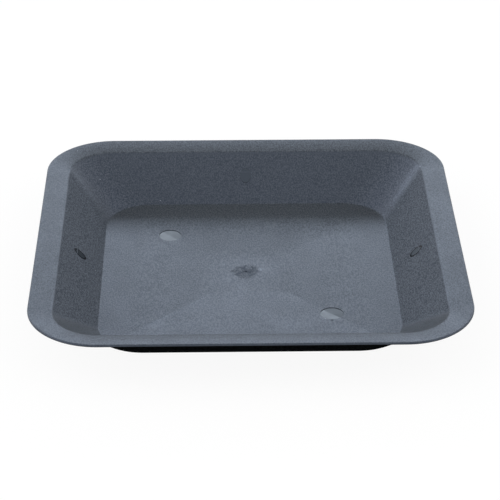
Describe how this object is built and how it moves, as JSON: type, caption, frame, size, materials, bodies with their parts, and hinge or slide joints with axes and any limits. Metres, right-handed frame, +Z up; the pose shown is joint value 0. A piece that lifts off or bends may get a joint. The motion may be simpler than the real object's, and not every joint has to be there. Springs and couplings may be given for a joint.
{
  "type": "square dish",
  "caption": "Shallow square dish of grained grey plastic with a wide sloping rim, flared walls and a slightly hipped floor, for holding instruments and swabs on a ward.",
  "frame": {"origin": "middle of the flat face that the dish stands on", "axes": "+Z up through the open mouth, X and Y along the sides of the square, -Y towards the picture's viewer"},
  "size_m": [0.22, 0.22, 0.0259],
  "materials": {
    "plastic": "fine moulded grain, matte"
  },
  "bodies": {
    "root": {"dish": "plastic"}
  },
  "joints": []
}
